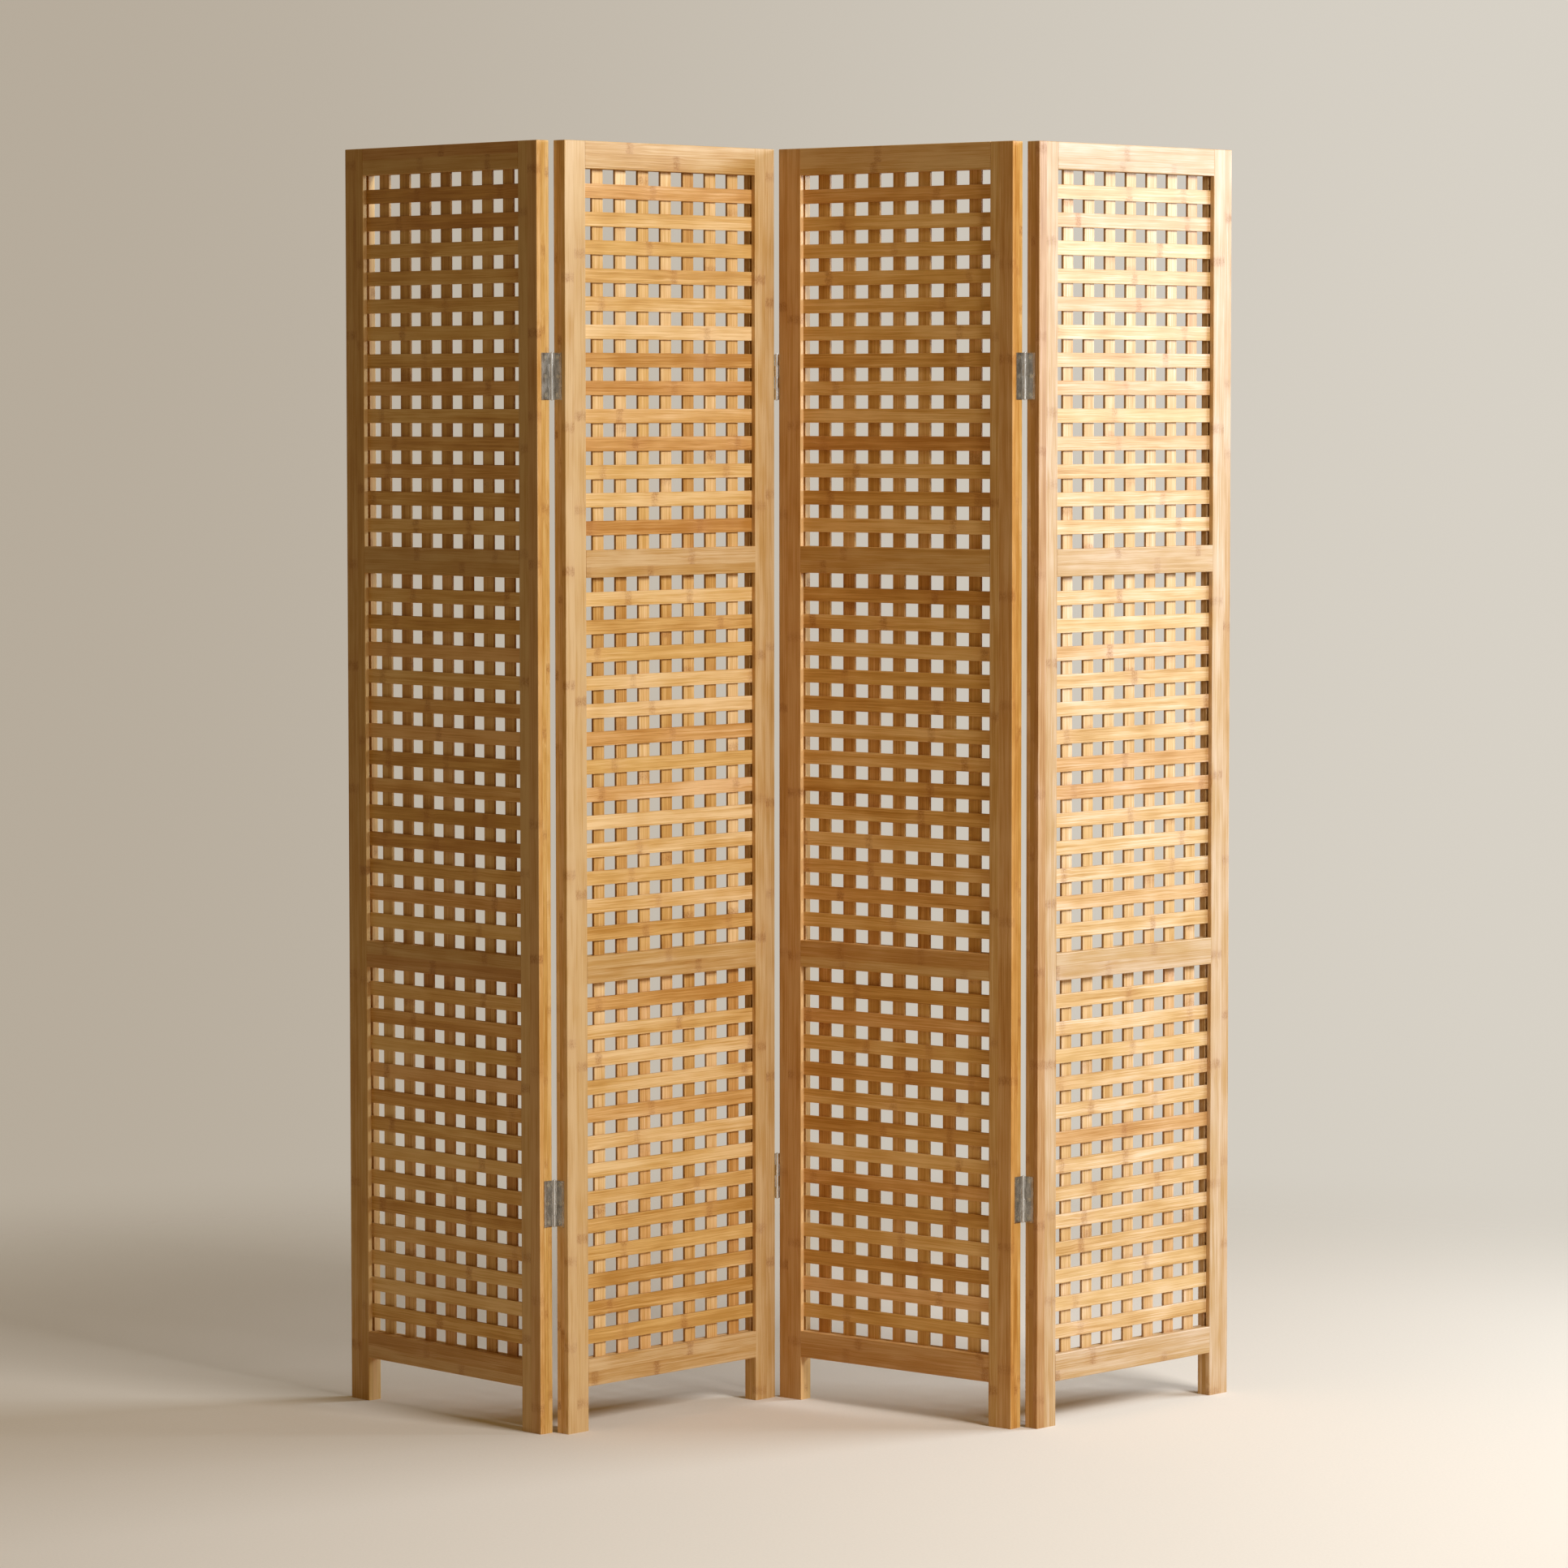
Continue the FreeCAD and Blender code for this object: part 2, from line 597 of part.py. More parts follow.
for left, right, face in JOINTS:
    axis = PLACES[left].multiply(hinge_in_panel("right", face, LOWER_HINGE)).Base
    print(f"hinge axis {left}-{right}: x {axis.x:.4f}, y {axis.y:.4f}")
for number, place in PLACES.items():
    print(f"panel {number}: corner {place.Base.x:.4f}, {place.Base.y:.4f}")
print(f"{len(nodes)} nodes, {sum(len(node.Shape.Solids) for node in nodes)} solids")
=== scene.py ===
"""The looks of a folding four-panel lattice screen in bamboo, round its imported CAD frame."""

import math

import bpy
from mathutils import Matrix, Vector

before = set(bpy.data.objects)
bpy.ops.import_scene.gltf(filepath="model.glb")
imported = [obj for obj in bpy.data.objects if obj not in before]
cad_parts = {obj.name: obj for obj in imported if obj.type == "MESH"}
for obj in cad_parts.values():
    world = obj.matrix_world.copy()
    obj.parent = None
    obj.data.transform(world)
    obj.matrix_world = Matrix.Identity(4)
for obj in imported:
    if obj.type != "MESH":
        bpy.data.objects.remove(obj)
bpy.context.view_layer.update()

# Each panel's front left corner, in metres, and its heading, in degrees
PANELS = {
    1: ((-0.6005635, 0.1218530), -47.35),
    2: ((-0.2926896, -0.1724138), 47.15),
    3: ((-0.0146729, 0.1212174), -39.95),
    4: ((0.3267452, -0.1335489), 46.80),
}
# Where the pins of each pair of panels stand, in metres
HINGE_AXES = {
    "1_2": (-0.3110978, -0.1579975),
    "2_3": (-0.0176447, 0.1207063),
    "3_4": (0.3084253, -0.1190204),
}
# How far from its axis a hinge's barrel and its painted highlight reach, in metres, a little beyond its
# radius of 2.4 mm
BARREL_HIGHLIGHT_EDGE = (0.00242, 0.00252)

# Sizes inside a panel, in millimetres
MILLIMETRE = 0.001
STILE_WIDTH = 38
RAIL_HEIGHT = 36
RIGHT_STILE = 362
LEG_HEIGHT = 59
SECTION_START = 75
SECTION_PITCH = 535
ROW_START = 105.3
ROW_PITCH = 36.8
ROW_MARGIN = 8.9
COLUMN_START = 49.5
COLUMN_PITCH = 43
COLUMN_MARGIN = 11.5

# Stiles and rails are glued up from three plies, and each ply from two strips side by side
PLY_DEPTH = 7
LAST_PLY = 2
STRIP_SPLIT = (0.38, 0.62)
SEAM_EDGE = (0.05, 0.35)
SEAM_SHADE = 0.30
# How far apart the stem's joints are, in millimetres
FRAME_JOINTS = 215.0
SLAT_JOINTS = 270.0

# How much paler than plain honey each panel's left and right stiles are: partly the bamboo's own tone, and
# partly painted light where a stile stands in more light
STILE_TONES_AND_LIGHT = {1: (0.10, 0.30), 2: (0.34, 0.18), 3: (0.14, 0.08), 4: (-0.06, 0.18)}
RAIL_TONE = 0.10
MIDDLE_PLY_TONE = -0.12
OUTER_PLY_TONE = 0.04
# The stiles' sides are darker than their fronts
SIDE_TONE = -0.24
# The left stiles' inner sides, which the openings show, are painted paler than their outer sides: painted
# light, standing in for the light that reaches them from behind on the right
INNER_SIDE_PAINTED_LIGHT = 0.36
# How much the strips of each panel differ from each other
CONTRAST = {1: 0.60, 2: 0.58, 3: 0.52, 4: 0.16}
FRAME_CONTRAST = 0.28
# Each panel's bamboo is a batch of its own, and its tint is partly painted light: panel 4's paler, bluer
# tint stands in for the whitish sheen on its lit front, and panels 1 and 3 are warmer for their deeper shade
BATCH_AND_LIGHT_TINTS = {
    1: (0.97, 0.95, 0.85, 1),
    2: (1.0, 1.01, 1.05, 1),
    3: (1.0, 0.96, 0.83, 1),
    4: (0.94, 1.03, 1.42, 1),
}

# Steps between the seeds of the panels, of the strips and of a strip and its joints, and each
# kind of member's own seed
PANEL_SEED = 10.0
STRIP_SEED = 40.0
JOINT_SEED = 17.0
KIND_SEEDS = {"stile": 5.0, "rail": 9.0, "row": 3.0, "column": 7.0}
# How far apart the strips' places in the noise may be, in millimetres
ALONG_SPREAD = 900.0
ACROSS_SPREAD = 300.0

# How upright a face's normal is, and how far it points along the panel's depth, where a face
# goes over from one kind to the other
LEVEL = (0.75, 0.95)
ROUNDED_LEVEL = (0.6, 0.9)
FRONTAL = (0.4, 0.7)
LEVEL_ROUGHNESS = 0.6


def linear(red, green, blue):
    """The linear colour of screen values from 0 to 255."""
    return tuple(((value / 255 + 0.055) / 1.055) ** 2.4 for value in (red, green, blue)) + (1,)


class Tree:
    """A shader tree that is drawn by calls; each returns the new node's output socket."""

    def __init__(self, tree):
        self.tree = tree

    def add(self, kind, inputs, output=0, **settings):
        node = self.tree.nodes.new(kind)
        for name, setting in settings.items():
            setattr(node, name, setting)
        for name, given in inputs.items():
            if isinstance(given, bpy.types.NodeSocket):
                self.tree.links.new(given, node.inputs[name])
            else:
                node.inputs[name].default_value = given
        return node.outputs[output] if node.outputs else node

    def math(self, operation, *numbers, clamp=False):
        return self.add("ShaderNodeMath", dict(enumerate(numbers)), operation=operation, use_clamp=clamp)

    def sum(self, *numbers):
        total = numbers[0]
        for number in numbers[1:]:
            total = self.math("ADD", total, number)
        return total

    def vector(self, operation, *vectors):
        return self.add("ShaderNodeVectorMath", dict(enumerate(vectors)), operation=operation)

    def length(self, vector):
        return self.add("ShaderNodeVectorMath", {0: vector}, output="Value", operation="LENGTH")

    def xyz(self, x, y, z):
        return self.add("ShaderNodeCombineXYZ", {0: x, 1: y, 2: z})

    def parts(self, vector):
        outputs = self.add("ShaderNodeSeparateXYZ", {0: vector}).node.outputs
        return outputs[0], outputs[1], outputs[2]

    def coordinates(self, kind):
        return self.add("ShaderNodeTexCoord", {}, output=kind)

    def noise(self, vector, detail=2.0, roughness=0.5):
        inputs = {"Vector": vector, "Scale": 1.0, "Detail": detail, "Roughness": roughness}
        return self.add("ShaderNodeTexNoise", inputs)

    def random(self, vector):
        """Three numbers from 0 to 1 that hang on the vector alone."""
        chance = self.add("ShaderNodeTexWhiteNoise", {"Vector": vector}, output="Color")
        return self.parts(chance)

    def span(self, number, low, high, start=0.0, end=1.0):
        """Carry a number from low..high over to start..end, smoothly, and hold it there."""
        inputs = {"Value": number, "From Min": low, "From Max": high, "To Min": start, "To Max": end}
        return self.add("ShaderNodeMapRange", inputs, interpolation_type="SMOOTHSTEP")

    def mix(self, share, first, second, blend="MIX"):
        return self.add("ShaderNodeMix", {0: share, 6: first, 7: second}, output=2,
                        data_type="RGBA", blend_type=blend)


def start_material(name):
    material = bpy.data.materials.new(name)
    material.use_nodes = True
    material.node_tree.nodes.clear()
    return material, Tree(material.node_tree)


def end_material(tree, **inputs):
    named = {name.replace("_", " "): given for name, given in inputs.items()}
    shader = tree.add("ShaderNodeBsdfPrincipled", named)
    tree.add("ShaderNodeOutputMaterial", {"Surface": shader})


# Bamboo

PALE = linear(232, 194, 140)
HONEY = linear(208, 160, 92)
DEEP = linear(176, 122, 52)
ROSY = linear(200, 142, 96)
ROSY_CAST = linear(247, 232, 226)
GOLD = linear(214, 168, 92)
KNOT = linear(148, 88, 38)
SEAM = linear(120, 78, 40)
# The sawn faces' colour, also painted as shade on the vertical slats' sides
SAWN_AND_SHADE = linear(128, 80, 38)


def make_bamboo_group():
    """One strip of bamboo. Its grain point is in millimetres: along the grain, across, and deep."""
    group = bpy.data.node_groups.new("bamboo_strip", "ShaderNodeTree")
    for name, kind in (("Grain", "NodeSocketVector"), ("Seed", "NodeSocketVector"),
                       ("Tone", "NodeSocketFloat"), ("Seam", "NodeSocketFloat"),
                       ("Spacing", "NodeSocketFloat"), ("Contrast", "NodeSocketFloat")):
        group.interface.new_socket(name, in_out="INPUT", socket_type=kind)
    for name, kind in (("Color", "NodeSocketColor"), ("Roughness", "NodeSocketFloat"),
                       ("Height", "NodeSocketFloat")):
        group.interface.new_socket(name, in_out="OUTPUT", socket_type=kind)
    t = Tree(group)
    given = group.nodes.new("NodeGroupInput").outputs
    first, second, third = t.random(given["Seed"])
    along, across, deep = t.parts(given["Grain"])
    # Every strip takes its noise from a place of its own
    along = t.math("MULTIPLY_ADD", first, ALONG_SPREAD, along)
    across = t.math("MULTIPLY_ADD", second, ACROSS_SPREAD, across)
    deep = t.math("MULTIPLY_ADD", third, ACROSS_SPREAD, deep)

    def patches(along_scale, across_scale, layer, detail):
        """Soft patches of noise, in a layer of their own."""
        spot = t.xyz(t.math("MULTIPLY", along, along_scale), t.math("MULTIPLY", across, across_scale), layer)
        return t.noise(spot, detail)

    def weighted(number, weight):
        """How far a number from 0 to 1 is from its middle, times its weight."""
        return t.math("MULTIPLY", t.math("SUBTRACT", number, 0.5), weight)

    # The stem's joints: about one in each spacing, each at a place of its own
    cell = t.math("DIVIDE", along, given["Spacing"])
    place = t.math("FRACT", cell)
    cell_seed = t.vector("ADD", given["Seed"], t.xyz(t.math("FLOOR", cell), JOINT_SEED, 0.0))
    shift, strength, _ = t.random(cell_seed)
    middle = t.span(shift, 0.0, 1.0, 0.2, 0.8)
    off = t.math("MULTIPLY", t.math("SUBTRACT", place, middle), given["Spacing"])
    waver = t.math("MULTIPLY_ADD", patches(0.05, 0.16, 0.0, 2.0), 9.0, -4.5)
    near = t.math("ABSOLUTE", t.math("ADD", off, waver))
    band = t.span(near, 3.0, 8.5, 1.0, 0.0)
    halo = t.span(near, 6.0, 30.0, 1.0, 0.0)
    ring = t.span(near, 0.2, 1.2, 1.0, 0.0)
    mottle = t.noise(t.xyz(t.math("MULTIPLY", along, 0.45), t.math("MULTIPLY", across, 0.6),
                           t.math("MULTIPLY", deep, 0.6)), 3.0, 0.65)
    blotch = t.span(mottle, 0.38, 0.62)
    knot = t.math("MULTIPLY", band, t.math("MULTIPLY_ADD", blotch, 0.75, 0.25))
    knot = t.math("MULTIPLY", knot, t.span(patches(0.02, 0.11, 3.0, 1.0), 0.30, 0.62, 0.35, 1.0))
    knot = t.math("MULTIPLY", knot, t.math("MULTIPLY_ADD", strength, 0.6, 0.5))
    knot = t.math("ADD", knot, t.math("MULTIPLY", ring, 0.12), clamp=True)

    # The fibres run straight, and swerve a little by the joints
    swerve = t.math("SUBTRACT", patches(0.035, 0.09, 7.0, 1.0), 0.5)
    reach = t.math("MULTIPLY_ADD", halo, 5.0, 1.6)
    bent = t.math("MULTIPLY_ADD", swerve, reach, across)

    def fibres(length, breadth, detail):
        spot = t.xyz(t.math("DIVIDE", along, length), t.math("DIVIDE", bent, breadth),
                     t.math("DIVIDE", deep, breadth))
        return t.noise(spot, detail, 0.55)

    fine = fibres(length=60.0, breadth=0.7, detail=2.0)
    streak = fibres(length=150.0, breadth=1.9, detail=3.0)
    broad = fibres(length=300.0, breadth=9.0, detail=1.0)
    cloud = patches(0.012, 0.03, 1.0, 2.0)

    shade = t.sum(weighted(fine, 1.0), weighted(streak, 1.05), weighted(broad, 0.7), weighted(cloud, 0.8),
                  weighted(second, given["Contrast"]), given["Tone"], 0.5)
    ramp = t.add("ShaderNodeValToRGB", {"Fac": shade})
    stops = ramp.node.color_ramp.elements
    stops[0].position, stops[0].color = 0.05, DEEP
    stops[1].position, stops[1].color = 0.95, PALE
    stops.new(0.5).color = HONEY
    rosy = t.span(third, 0.55, 1.0, 0.0, 0.8)
    gold = t.span(third, 0.35, 0.0, 0.0, 0.22)
    colour = t.mix(rosy, ramp, t.mix(1.0, ramp, ROSY_CAST, "MULTIPLY"))
    colour = t.mix(gold, colour, GOLD)
    colour = t.mix(t.math("MULTIPLY", halo, 0.10), colour, ROSY)
    colour = t.mix(t.math("MULTIPLY", knot, 0.62), colour, KNOT)
    colour = t.mix(given["Seam"], colour, SEAM)
    roughness = t.sum(0.36, t.math("MULTIPLY", streak, 0.12), t.math("MULTIPLY", knot, 0.12))
    height = t.sum(t.math("MULTIPLY", fine, 0.05), t.math("MULTIPLY", streak, 0.04),
                   t.math("MULTIPLY", knot, 0.10), t.math("MULTIPLY", given["Seam"], -0.12))
    out = group.nodes.new("NodeGroupOutput")
    for name, socket in (("Color", colour), ("Roughness", roughness), ("Height", height)):
        group.links.new(socket, out.inputs[name])
    return group


def frame_strips(t, number, kind, x, y, z, depth):
    """The group's inputs for a stile or a rail, from a point in millimetres in the panel's own frame."""
    if kind == "stile":
        member = t.math("GREATER_THAN", x, RIGHT_STILE / 2)
        across = t.math("MULTIPLY_ADD", member, -float(RIGHT_STILE), x)
        along, breadth = z, STILE_WIDTH
    else:
        rise = t.math("DIVIDE", t.math("SUBTRACT", z, LEG_HEIGHT - 1), SECTION_PITCH)
        member = t.math("FLOOR", rise)
        across = t.math("SUBTRACT", t.math("SUBTRACT", z, LEG_HEIGHT),
                        t.math("MULTIPLY", member, SECTION_PITCH))
        along, breadth = x, RAIL_HEIGHT

    ply = t.math("MAXIMUM", t.math("FLOOR", t.math("DIVIDE", y, PLY_DEPTH)), 0.0)
    ply = t.math("MINIMUM", ply, LAST_PLY)
    seed = t.xyz(t.math("ADD", member, PANEL_SEED * number), ply, KIND_SEEDS[kind])
    wander, _, _ = t.random(seed)
    split = t.span(wander, 0.0, 1.0, *(breadth * share for share in STRIP_SPLIT))
    strip = t.math("GREATER_THAN", across, split)
    seed = t.vector("ADD", seed, t.xyz(0.0, t.math("MULTIPLY", strip, STRIP_SEED), 0.0))

    # The glue lines between the two strips of a ply, and between the plies
    from_split = t.math("ABSOLUTE", t.math("SUBTRACT", across, split))
    half_ply = PLY_DEPTH / 2
    from_ply = t.math("SUBTRACT", half_ply, t.math("PINGPONG", t.math("ADD", y, half_ply), half_ply))
    seam = t.math("MAXIMUM", t.span(from_split, *SEAM_EDGE, SEAM_SHADE, 0.0),
                  t.span(from_ply, *SEAM_EDGE, SEAM_SHADE, 0.0))

    tone = t.math("MULTIPLY_ADD", t.math("MODULO", ply, 2.0), MIDDLE_PLY_TONE, OUTER_PLY_TONE)
    if kind == "stile":
        # The stiles' tones are partly painted light
        left_tone_and_light, right_tone_and_light = STILE_TONES_AND_LIGHT[number]
        tone = t.sum(tone, t.math("MULTIPLY", member, right_tone_and_light - left_tone_and_light), left_tone_and_light)
        # Painted light on the left stile's inner side; the other sides are darker
        inner = t.math("GREATER_THAN", x, STILE_WIDTH - 1)
        inner = t.math("MULTIPLY", inner, t.math("SUBTRACT", 1.0, member))
        side_tone_and_light = t.math("MULTIPLY_ADD", inner, INNER_SIDE_PAINTED_LIGHT - SIDE_TONE, SIDE_TONE)
        tone = t.math("ADD", tone, t.span(depth, *FRONTAL, side_tone_and_light, 0.0))
    else:
        tone = t.math("ADD", tone, RAIL_TONE)
    return {"Grain": t.xyz(along, across, y), "Seed": seed, "Tone": tone, "Seam": seam,
            "Spacing": FRAME_JOINTS, "Contrast": FRAME_CONTRAST}


def slat_strips(t, number, kind, x, y, z):
    """The group's inputs for a horizontal or a vertical slat, which is one strip."""
    section = t.math("FLOOR", t.math("DIVIDE", t.math("SUBTRACT", z, SECTION_START), SECTION_PITCH))
    if kind == "row":
        spot = t.math("SUBTRACT", t.math("SUBTRACT", z, ROW_START),
                      t.math("MULTIPLY", section, SECTION_PITCH))
        pitch, margin, along = ROW_PITCH, ROW_MARGIN, x
    else:
        spot = t.math("SUBTRACT", x, COLUMN_START)
        pitch, margin, along = COLUMN_PITCH, COLUMN_MARGIN, z
    index = t.math("FLOOR", t.math("DIVIDE", spot, pitch))
    across = t.math("SUBTRACT", t.math("SUBTRACT", spot, t.math("MULTIPLY", index, pitch)), margin)
    seed = t.xyz(index, section, PANEL_SEED * number + KIND_SEEDS[kind])
    return {"Grain": t.xyz(along, across, y), "Seed": seed, "Tone": 0.0, "Seam": 0.0,
            "Spacing": SLAT_JOINTS, "Contrast": CONTRAST[number]}


def bamboo(number, kind):
    """The bamboo of one kind of member in one panel, laid along that member's own strips."""
    material, t = start_material(f"bamboo_panel_{number}_{kind}")
    (left, front), heading = PANELS[number]
    turn = math.radians(heading)
    placing = {"Vector": t.coordinates("Object"), "Location": (left, front, 0), "Rotation": (0, 0, turn),
               "Scale": (MILLIMETRE, MILLIMETRE, MILLIMETRE)}
    x, y, z = t.parts(t.add("ShaderNodeMapping", placing, vector_type="TEXTURE"))
    facing = t.parts(t.coordinates("Normal"))
    depth = t.math("ABSOLUTE", t.sum(t.math("MULTIPLY", facing[0], math.sin(turn)),
                                     t.math("MULTIPLY", facing[1], -math.cos(turn))))
    level = t.math("ABSOLUTE", facing[2])
    if kind in ("stile", "rail"):
        inputs = frame_strips(t, number, kind, x, y, z, depth)
    else:
        inputs = slat_strips(t, number, kind, x, y, z)
    colour, roughness, height = t.add("ShaderNodeGroup", inputs, node_tree=BAMBOO).node.outputs

    # Sawn ends and edges are left darker and rougher than the sanded faces; the vertical slats' darker sides
    # are partly painted shade, for the shade in the recesses between the slats
    if kind == "stile":
        sawn_and_shade = t.span(level, *LEVEL, 0.0, 0.45)
    elif kind == "rail":
        sawn_and_shade = t.span(level, *LEVEL, 0.0, 0.2)
    elif kind == "row":
        sawn_and_shade = t.span(level, *ROUNDED_LEVEL, 0.0, 0.3)
    else:
        sawn_and_shade = t.span(depth, *FRONTAL, 0.15, 0.0)
    # The panel's tint, partly painted light, and the darker sawn faces, on the vertical slats partly painted
    # shade
    colour = t.mix(sawn_and_shade, t.mix(1.0, colour, BATCH_AND_LIGHT_TINTS[number], "MULTIPLY"), SAWN_AND_SHADE)
    roughness = t.math("ADD", roughness, t.span(level, *LEVEL, 0.0, LEVEL_ROUGHNESS), clamp=True)
    bump = t.add("ShaderNodeBump", {"Strength": 0.5, "Distance": 0.001, "Height": height})
    end_material(t, Base_Color=colour, Roughness=roughness, Normal=bump, Specular_IOR_Level=0.18,
                 Coat_Weight=0.03, Coat_Roughness=0.25)
    return material


def bare_dowel():
    material, t = start_material("bare_dowel_wood")
    grain = t.noise(t.vector("MULTIPLY", t.coordinates("Object"), (400.0, 400.0, 900.0)), 3.0)
    colour = t.mix(grain, linear(196, 158, 112), linear(226, 194, 150))
    end_material(t, Base_Color=colour, Roughness=0.7)
    return material


# Metal

def steel(name, dark, bright, smooth, rough, axis=None):
    """Nickel plate with faint cloudy marks and fine scratches; the barrel round an axis is painted brighter,
    a painted highlight.
    """
    material, t = start_material(name)
    here = t.coordinates("Object")
    cloud = t.noise(t.vector("MULTIPLY", here, (140.0, 140.0, 60.0)), 3.0, 0.6)
    scratch = t.noise(t.vector("MULTIPLY", here, (1500.0, 1500.0, 90.0)), 2.0, 0.6)
    marks = t.span(t.sum(t.math("MULTIPLY", cloud, 0.6), t.math("MULTIPLY", scratch, 0.4)), 0.35, 0.65)
    colour = t.mix(marks, dark, bright)
    roughness = t.span(marks, 0.0, 1.0, smooth, rough)
    if axis:
        # Painted highlight: the barrel gets a paler colour than its leaf
        x, y, _ = t.parts(here)
        from_axis = t.length(t.vector("SUBTRACT", t.xyz(x, y, 0.0), (*axis, 0.0)))
        barrel = t.span(from_axis, *BARREL_HIGHLIGHT_EDGE, 1.0, 0.0)
        colour = t.mix(barrel, colour, t.mix(marks, linear(208, 205, 202), linear(232, 229, 225)))
    bump = t.add("ShaderNodeBump", {"Strength": 0.25, "Distance": 0.0001, "Height": scratch})
    end_material(t, Base_Color=colour, Metallic=1.0, Roughness=roughness, Normal=bump)
    return material


BAMBOO = make_bamboo_group()
DOWEL = bare_dowel()
LEAVES = {
    joint: steel(f"hinge_nickel_{joint}", linear(170, 165, 158), linear(200, 196, 190),
                 smooth=0.16, rough=0.30, axis=axis)
    for joint, axis in HINGE_AXES.items()
}
PIN = steel("pin_nickel", linear(190, 186, 180), linear(214, 210, 204), smooth=0.14, rough=0.24)
SCREW = steel("screw_nickel", linear(200, 193, 178), linear(226, 220, 207), smooth=0.20, rough=0.32)


# The pieces' finishes

# Lengths in metres, and the least angle of an edge that is rounded, in degrees
LEAF_EASING = 0.00015
WELD_DISTANCE = 0.000005
LEAST_EDGE_ANGLE = 50


def ease_edges(item, width):
    """A small rounding on a metal piece's edges, so that they catch the light."""
    weld = item.modifiers.new("weld", "WELD")
    weld.merge_threshold = WELD_DISTANCE
    bevel = item.modifiers.new("bevel", "BEVEL")
    bevel.width = width
    bevel.segments = 2
    bevel.limit_method = "ANGLE"
    bevel.angle_limit = math.radians(LEAST_EDGE_ANGLE)
    item.modifiers.new("flat faces", "WEIGHTED_NORMAL")


def dress(item, material):
    if not item.material_slots:
        item.data.materials.append(None)
    for slot in item.material_slots:
        slot.link = "OBJECT"
        slot.material = material


def dress_panel(number):
    finishes = {
        "_stile": bamboo(number, "stile"),
        "_rail": bamboo(number, "rail"),
        "_horizontal_slats": bamboo(number, "row"),
        "_vertical_slats": bamboo(number, "column"),
        "_rail_dowels": DOWEL,
        "_hinge_screws": SCREW,
    }
    for name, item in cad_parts.items():
        if name.startswith(f"panel_{number}_"):
            dress(item, next(finishes[ending] for ending in finishes if name.endswith(ending)))


def dress_hinges():
    for name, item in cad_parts.items():
        if name.endswith("_leaf"):
            dress(item, next(LEAVES[joint] for joint in HINGE_AXES if joint in name))
            ease_edges(item, LEAF_EASING)
        elif name.endswith("_pin"):
            dress(item, PIN)


# Floor and light

FLOOR_REACH = 14
# How far from the middle the floor begins to fade, and where it is gone, in metres
FLOOR_FADE = (1.2, 2.7)


def make_floor():
    """A pale floor that fades out into the backdrop's colour."""
    mesh = bpy.data.meshes.new("floor")
    corners = [(-FLOOR_REACH, -FLOOR_REACH, 0), (FLOOR_REACH, -FLOOR_REACH, 0),
               (FLOOR_REACH, FLOOR_REACH, 0), (-FLOOR_REACH, FLOOR_REACH, 0)]
    mesh.from_pydata(corners, [], [(0, 1, 2, 3)])
    floor = bpy.data.objects.new("floor", mesh)
    bpy.context.scene.collection.objects.link(floor)
    material, t = start_material("pale_floor")
    here = t.coordinates("Object")
    fade = t.span(t.length(here), *FLOOR_FADE)
    grain = t.noise(t.vector("MULTIPLY", here, (260.0, 260.0, 1.0)), 3.0, 0.7)
    colour = t.mix(grain, linear(219, 206, 191), linear(230, 217, 202))
    matt = t.add("ShaderNodeBsdfDiffuse", {"Color": colour})
    clear = t.add("ShaderNodeBsdfTransparent", {})
    surface = t.add("ShaderNodeMixShader", {0: fade, 1: matt, 2: clear})
    t.add("ShaderNodeOutputMaterial", {"Surface": surface})
    mesh.materials.append(material)


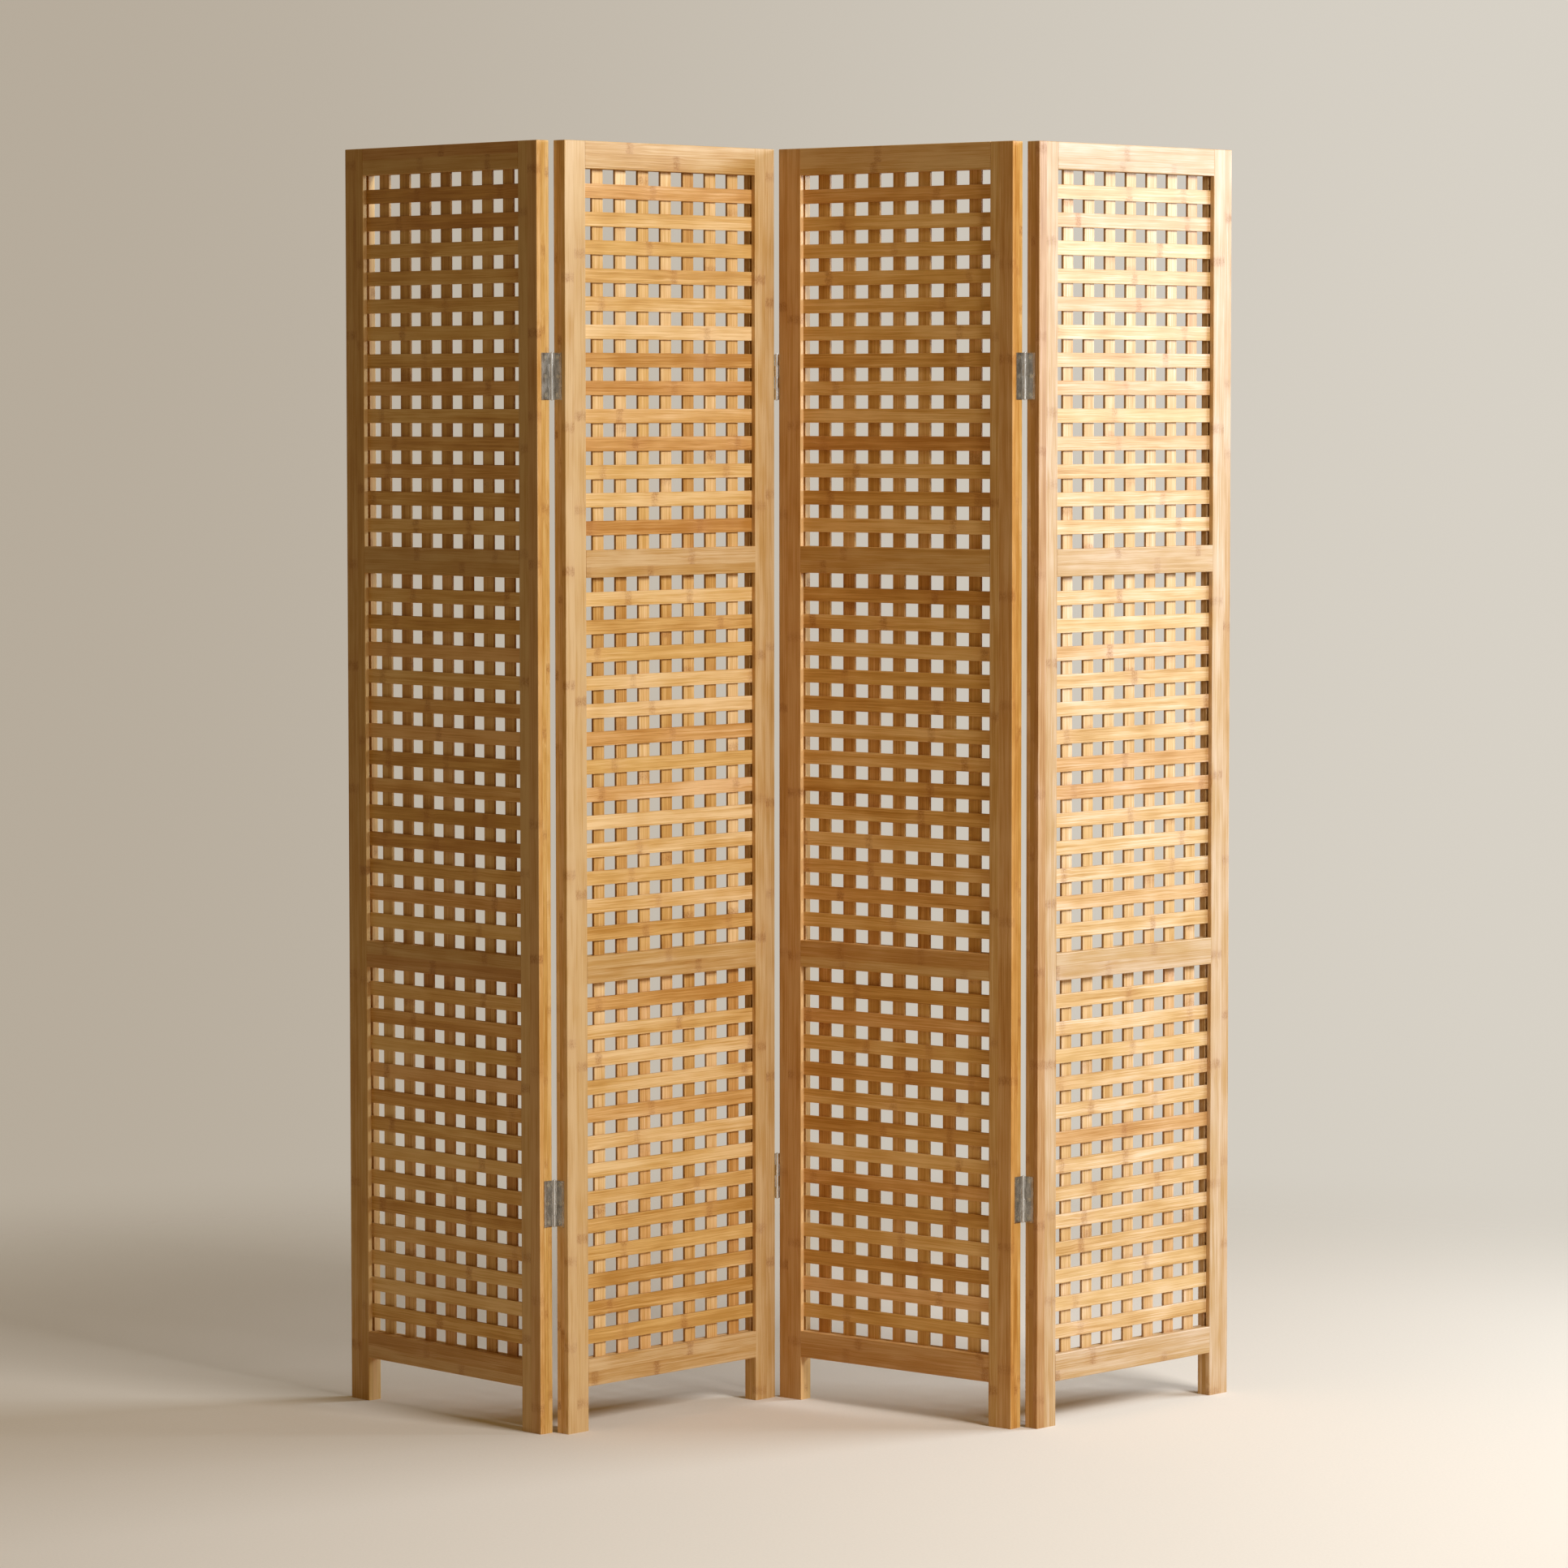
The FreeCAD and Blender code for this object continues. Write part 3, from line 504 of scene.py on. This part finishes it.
def make_world():
    """Plain studio fill, and a pale backdrop for whatever looks straight at it."""
    world = bpy.data.worlds.new("studio")
    world.use_nodes = True
    world.node_tree.nodes.clear()
    t = Tree(world.node_tree)
    fill = t.add("ShaderNodeBackground", {"Color": (1.0, 0.72, 0.30, 1), "Strength": 0.215})
    # The backdrop is painted darker towards the left, as painted shade
    side = t.parts(t.coordinates("Generated"))[0]
    wall = t.mix(t.span(side, -0.15, 0.15), linear(182, 171, 155), linear(216, 210, 199))
    backdrop = t.add("ShaderNodeBackground", {"Color": wall, "Strength": 1.0})
    rays = t.add("ShaderNodeLightPath", {}).node.outputs
    seen = t.math("MAXIMUM", rays["Is Camera Ray"],
                  t.math("MAXIMUM", rays["Is Glossy Ray"], rays["Is Transmission Ray"]))
    surface = t.add("ShaderNodeMixShader", {0: seen, 1: fill, 2: backdrop})
    t.add("ShaderNodeOutputWorld", {"Surface": surface})
    bpy.context.scene.world = world


def make_lamp(name, place, aim, size, watts, colour):
    data = bpy.data.lights.new(name, "AREA")
    data.shape = "RECTANGLE"
    data.size, data.size_y = size
    data.energy = watts
    data.color = colour
    lamp = bpy.data.objects.new(name, data)
    lamp.location = place
    lamp.rotation_euler = (Vector(aim) - Vector(place)).to_track_quat("-Z", "Y").to_euler()
    lamp.visible_camera = False
    bpy.context.scene.collection.objects.link(lamp)


# The photograph's camera, solved from the panels' corners: lengths in pixels, place in metres,
# tilt and roll in degrees
PICTURE_WIDTH = 1932
FOCAL_LENGTH = 7220
CAMERA_PLACE = (-0.00764, -7.83199, 1.35489)
DOWNWARD_TILT = 3.6973
CAMERA_ROLL = 0.0404
SENSOR_WIDTH = 36


def make_camera():
    data = bpy.data.cameras.new("camera")
    data.sensor_width = SENSOR_WIDTH
    data.lens = SENSOR_WIDTH * FOCAL_LENGTH / PICTURE_WIDTH
    data.clip_end = 60
    camera = bpy.data.objects.new("camera", data)
    camera.location = CAMERA_PLACE
    camera.rotation_euler = (math.radians(90 - DOWNWARD_TILT), math.radians(CAMERA_ROLL), 0)
    bpy.context.scene.collection.objects.link(camera)
    bpy.context.scene.camera = camera


for panel in PANELS:
    dress_panel(panel)
dress_hinges()
make_floor()
make_world()
make_camera()
make_lamp("window", place=(3.5, 0.75, 2.05), aim=(0, 0, 1.5), size=(2.2, 1.4), watts=162,
          colour=(0.70, 0.84, 1.0))
make_lamp("room", place=(2.7, -2.7, 3.0), aim=(0, 0, 1.2), size=(1.5, 1.5), watts=186,
          colour=(0.90, 0.95, 1.0))

bpy.context.scene.view_settings.view_transform = "Standard"
